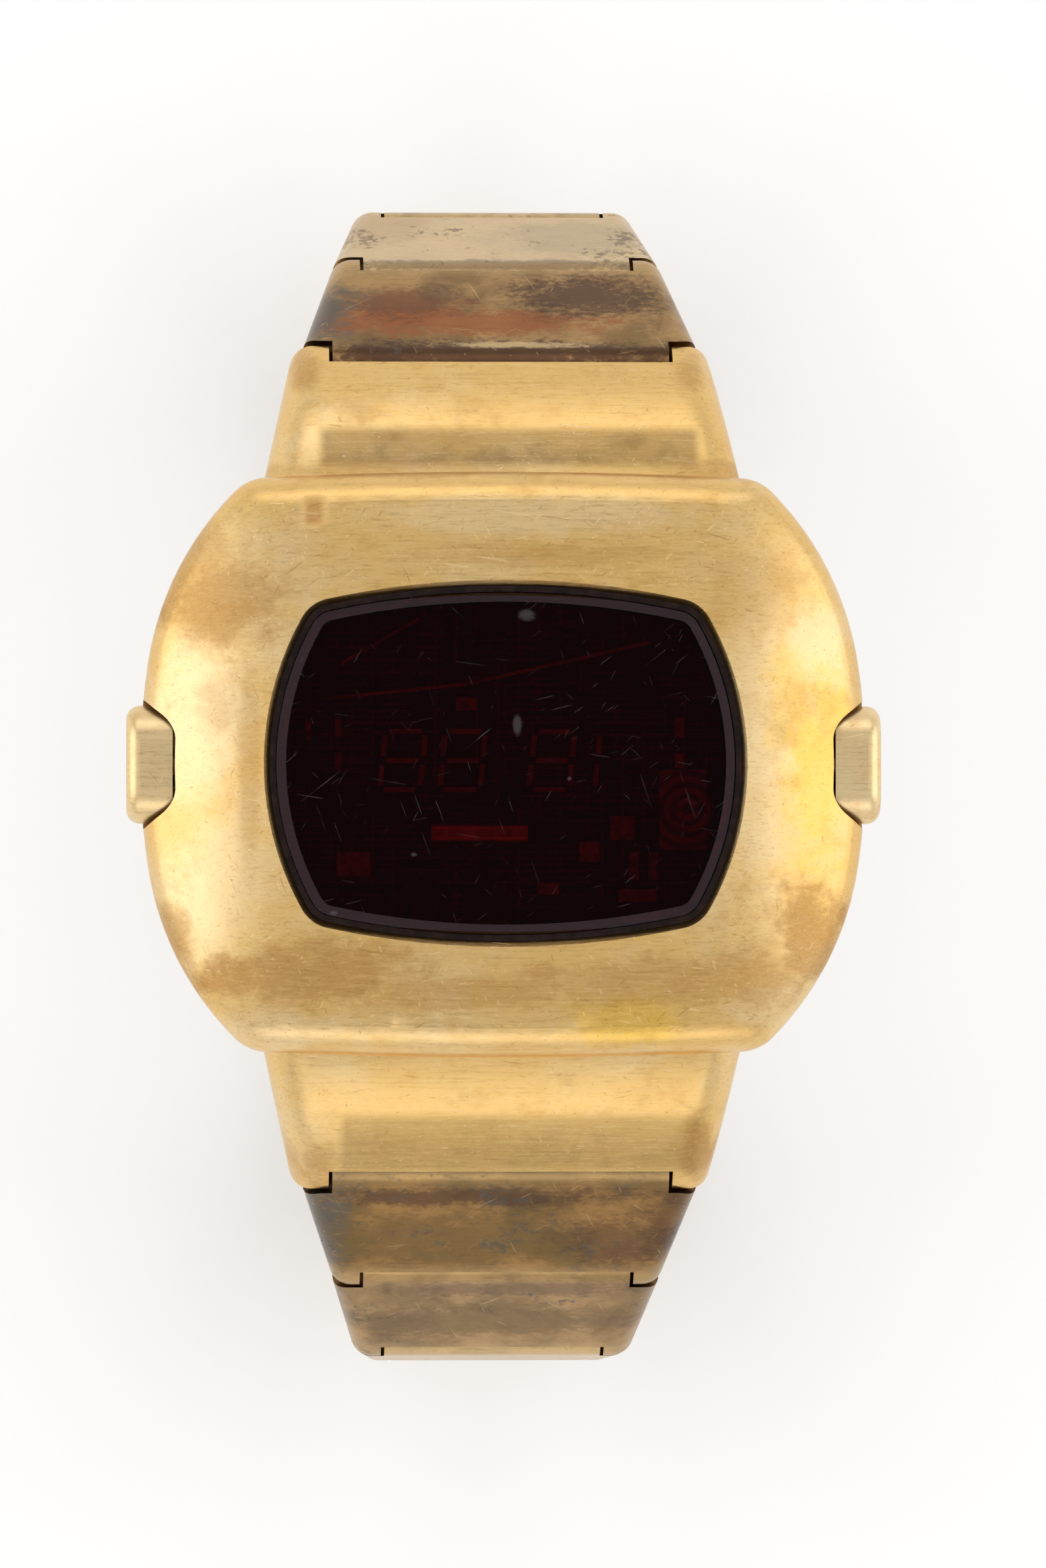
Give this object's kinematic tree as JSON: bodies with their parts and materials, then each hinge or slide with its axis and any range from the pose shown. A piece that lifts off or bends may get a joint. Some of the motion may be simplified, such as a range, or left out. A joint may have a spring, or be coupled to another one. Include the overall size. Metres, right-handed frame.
{
  "type": "wristwatch",
  "caption": "Cushion-cased digital wristwatch with a dark ruby window, two side push buttons and a tapering hinged link bracelet closed by a slide-catch clasp.",
  "frame": {"origin": "on the clasp's flat outer face, straight under the middle of the case", "axes": "+X across the dial, +Y up the picture (towards the wearer's six o'clock), +Z out of the dial"},
  "size_m": [0.0416, 0.066, 0.0538],
  "materials": {
    "case_gold": "worn brushed gold filling with brown tarnish",
    "button_gold": "worn satin gold filling",
    "band_gold": "dull tarnished gold filling",
    "clasp_gold": "rubbed gold filling",
    "ruby_crystal": "dark ruby mineral crystal, lightly scratched",
    "gasket_black": "black rubber",
    "back_steel": "brushed stainless steel",
    "hatch_steel": "turned stainless steel",
    "screw_steel": "machined screw steel",
    "lid_steel": "brushed stainless steel",
    "catch_steel": "rubbed stainless steel",
    "pin_steel": "drawn steel wire",
    "spring_steel": "spring wire",
    "cell_steel": "nickel-plated cell can",
    "contact_metal": "gold-flashed contact",
    "tray_plastic": "black moulded plastic",
    "board_dark": "dark ceramic board with fired tracks",
    "digit_bars": "unlit red light-emitting bars",
    "chip_black": "black epoxy",
    "can_metal": "plated metal tube",
    "trimmer_body": "ceramic trimmer",
    "component_tan": "ceramic chip parts with plated ends",
    "wire_gold": "bare gold wire",
    "reed_glass": "green-tinted glass tube",
    "magnet_grey": "sintered magnet"
  },
  "bodies": {
    "head": {"case_shell": "case_gold", "crystal": "ruby_crystal", "crystal_gasket": "gasket_black", "case_back": "back_steel", "back_gasket": "gasket_black", "back_screws": "screw_steel", "battery_cells": "cell_steel", "battery_contacts": "contact_metal", "module_frame": "tray_plastic", "display_board": "board_dark", "led_digits": "digit_bars", "logic_chip": "chip_black", "quartz_can": "can_metal", "trimmer": "trimmer_body", "chip_components": "component_tan", "board_wires": "wire_gold", "reed_switches": "reed_glass", "button_seals": "gasket_black", "button_spring_right": "spring_steel", "button_spring_left": "spring_steel", "lug_bar_upper": "pin_steel", "lug_bar_lower": "pin_steel"},
    "button_right": {"button_right": "button_gold", "button_magnet_right": "magnet_grey"},
    "hatch_right": {"battery_hatch_right": "hatch_steel", "hatch_seal_right": "gasket_black"},
    "button_left": {"button_left": "button_gold", "button_magnet_left": "magnet_grey"},
    "hatch_left": {"battery_hatch_left": "hatch_steel", "hatch_seal_left": "gasket_black"},
    "upper_link_1": {"upper_link_1": "band_gold", "upper_pin_1": "pin_steel"},
    "upper_link_2": {"upper_link_2": "band_gold", "upper_pin_2": "pin_steel"},
    "upper_link_3": {"upper_link_3": "band_gold", "upper_pin_3": "pin_steel"},
    "upper_link_4": {"upper_link_4": "band_gold", "upper_pin_4": "pin_steel"},
    "upper_link_5": {"upper_link_5": "band_gold", "upper_pin_5": "pin_steel"},
    "upper_link_6": {"upper_link_6": "band_gold", "upper_pin_6": "pin_steel"},
    "lower_link_1": {"lower_link_1": "band_gold", "lower_pin_1": "pin_steel"},
    "lower_link_2": {"lower_link_2": "band_gold", "lower_pin_2": "pin_steel"},
    "lower_link_3": {"lower_link_3": "band_gold", "lower_pin_3": "pin_steel"},
    "lower_link_4": {"lower_link_4": "band_gold", "lower_pin_4": "pin_steel"},
    "lower_link_5": {"lower_link_5": "band_gold", "lower_pin_5": "pin_steel"},
    "lower_link_6": {"lower_link_6": "band_gold", "lower_pin_6": "pin_steel"},
    "clasp": {"clasp_body": "clasp_gold", "clasp_lid": "lid_steel"},
    "catch": {"catch_slide": "catch_steel"},
    "magnet": {"setting_magnet": "magnet_grey"},
    "clasp_tongue": {"clasp_tongue": "clasp_gold"}
  },
  "joints": [
    {"name": "upper_hinge_1", "type": "hinge", "parent": "head", "child": "upper_link_1", "pos_m": [0, 0.0221, 0.04348], "axis": [1, 0, 0], "range_deg": [0, 34]},
    {"name": "upper_hinge_2", "type": "hinge", "parent": "upper_link_1", "child": "upper_link_2", "pos_m": [0, 0.02727, 0.03636], "axis": [1, 0, 0], "range_deg": [0, 14]},
    {"name": "upper_hinge_3", "type": "hinge", "parent": "upper_link_2", "child": "upper_link_3", "pos_m": [0, 0.03057, 0.0282], "axis": [1, 0, 0], "range_deg": [0, 22]},
    {"name": "upper_hinge_4", "type": "hinge", "parent": "upper_link_3", "child": "upper_link_4", "pos_m": [0, 0.03057, 0.0194], "axis": [1, 0, 0], "range_deg": [0, 20]},
    {"name": "upper_hinge_5", "type": "hinge", "parent": "upper_link_4", "child": "upper_link_5", "pos_m": [0, 0.02756, 0.01113], "axis": [1, 0, 0], "range_deg": [0, 25]},
    {"name": "upper_hinge_6", "type": "hinge", "parent": "upper_link_5", "child": "upper_link_6", "pos_m": [0, 0.02134, 0.00491], "axis": [1, 0, 0], "range_deg": [0, 25]},
    {"name": "clasp_hinge", "type": "hinge", "parent": "upper_link_6", "child": "clasp", "pos_m": [0, 0.01307, 0.0019], "axis": [1, 0, 0], "range_deg": [0, 20]},
    {"name": "lower_hinge_1", "type": "hinge", "parent": "head", "child": "lower_link_1", "pos_m": [0, -0.0221, 0.04348], "axis": [-1, 0, 0], "range_deg": [0, 32]},
    {"name": "lower_hinge_2", "type": "hinge", "parent": "lower_link_1", "child": "lower_link_2", "pos_m": [0, -0.02752, 0.03655], "axis": [-1, 0, 0], "range_deg": [0, 9]},
    {"name": "lower_hinge_3", "type": "hinge", "parent": "lower_link_2", "child": "lower_link_3", "pos_m": [0, -0.03178, 0.02885], "axis": [-1, 0, 0], "range_deg": [0, 25]},
    {"name": "lower_hinge_4", "type": "hinge", "parent": "lower_link_3", "child": "lower_link_4", "pos_m": [0, -0.0324, 0.02007], "axis": [-1, 0, 0], "range_deg": [0, 24]},
    {"name": "lower_hinge_5", "type": "hinge", "parent": "lower_link_4", "child": "lower_link_5", "pos_m": [0, -0.02939, 0.0118], "axis": [-1, 0, 0], "range_deg": [0, 26]},
    {"name": "lower_hinge_6", "type": "hinge", "parent": "lower_link_5", "child": "lower_link_6", "pos_m": [0, -0.02306, 0.00569], "axis": [-1, 0, 0], "range_deg": [0, 18.5]},
    {"name": "tongue_hinge", "type": "hinge", "parent": "lower_link_6", "child": "clasp_tongue", "pos_m": [0, -0.01511, 0.0019], "axis": [-1, 0, 0], "range_deg": [0, 25.5]},
    {"name": "button_right_press", "type": "slide", "parent": "head", "child": "button_right", "axis": [-1, 0, 0], "range_m": [0, 0.0008], "stiffness_N_per_m": 400, "deforming": ["button_spring_right"]},
    {"name": "hatch_right_turn", "type": "hinge", "parent": "head", "child": "hatch_right", "pos_m": [0.0072, -0.0044, 0.04268], "axis": [0, 0, -1], "range_deg": [0, 90]},
    {"name": "button_left_press", "type": "slide", "parent": "head", "child": "button_left", "axis": [1, 0, 0], "range_m": [0, 0.0008], "stiffness_N_per_m": 400, "deforming": ["button_spring_left"]},
    {"name": "hatch_left_turn", "type": "hinge", "parent": "head", "child": "hatch_left", "pos_m": [-0.0072, -0.0044, 0.04268], "axis": [0, 0, -1], "range_deg": [0, 90]},
    {"name": "catch_slide", "type": "slide", "parent": "clasp", "child": "catch", "axis": [0, -1, 0], "range_m": [0, 0.0016]},
    {"name": "magnet_slide", "type": "slide", "parent": "clasp", "child": "magnet", "axis": [1, 0, 0], "range_m": [0, 0.0125]}
  ]
}
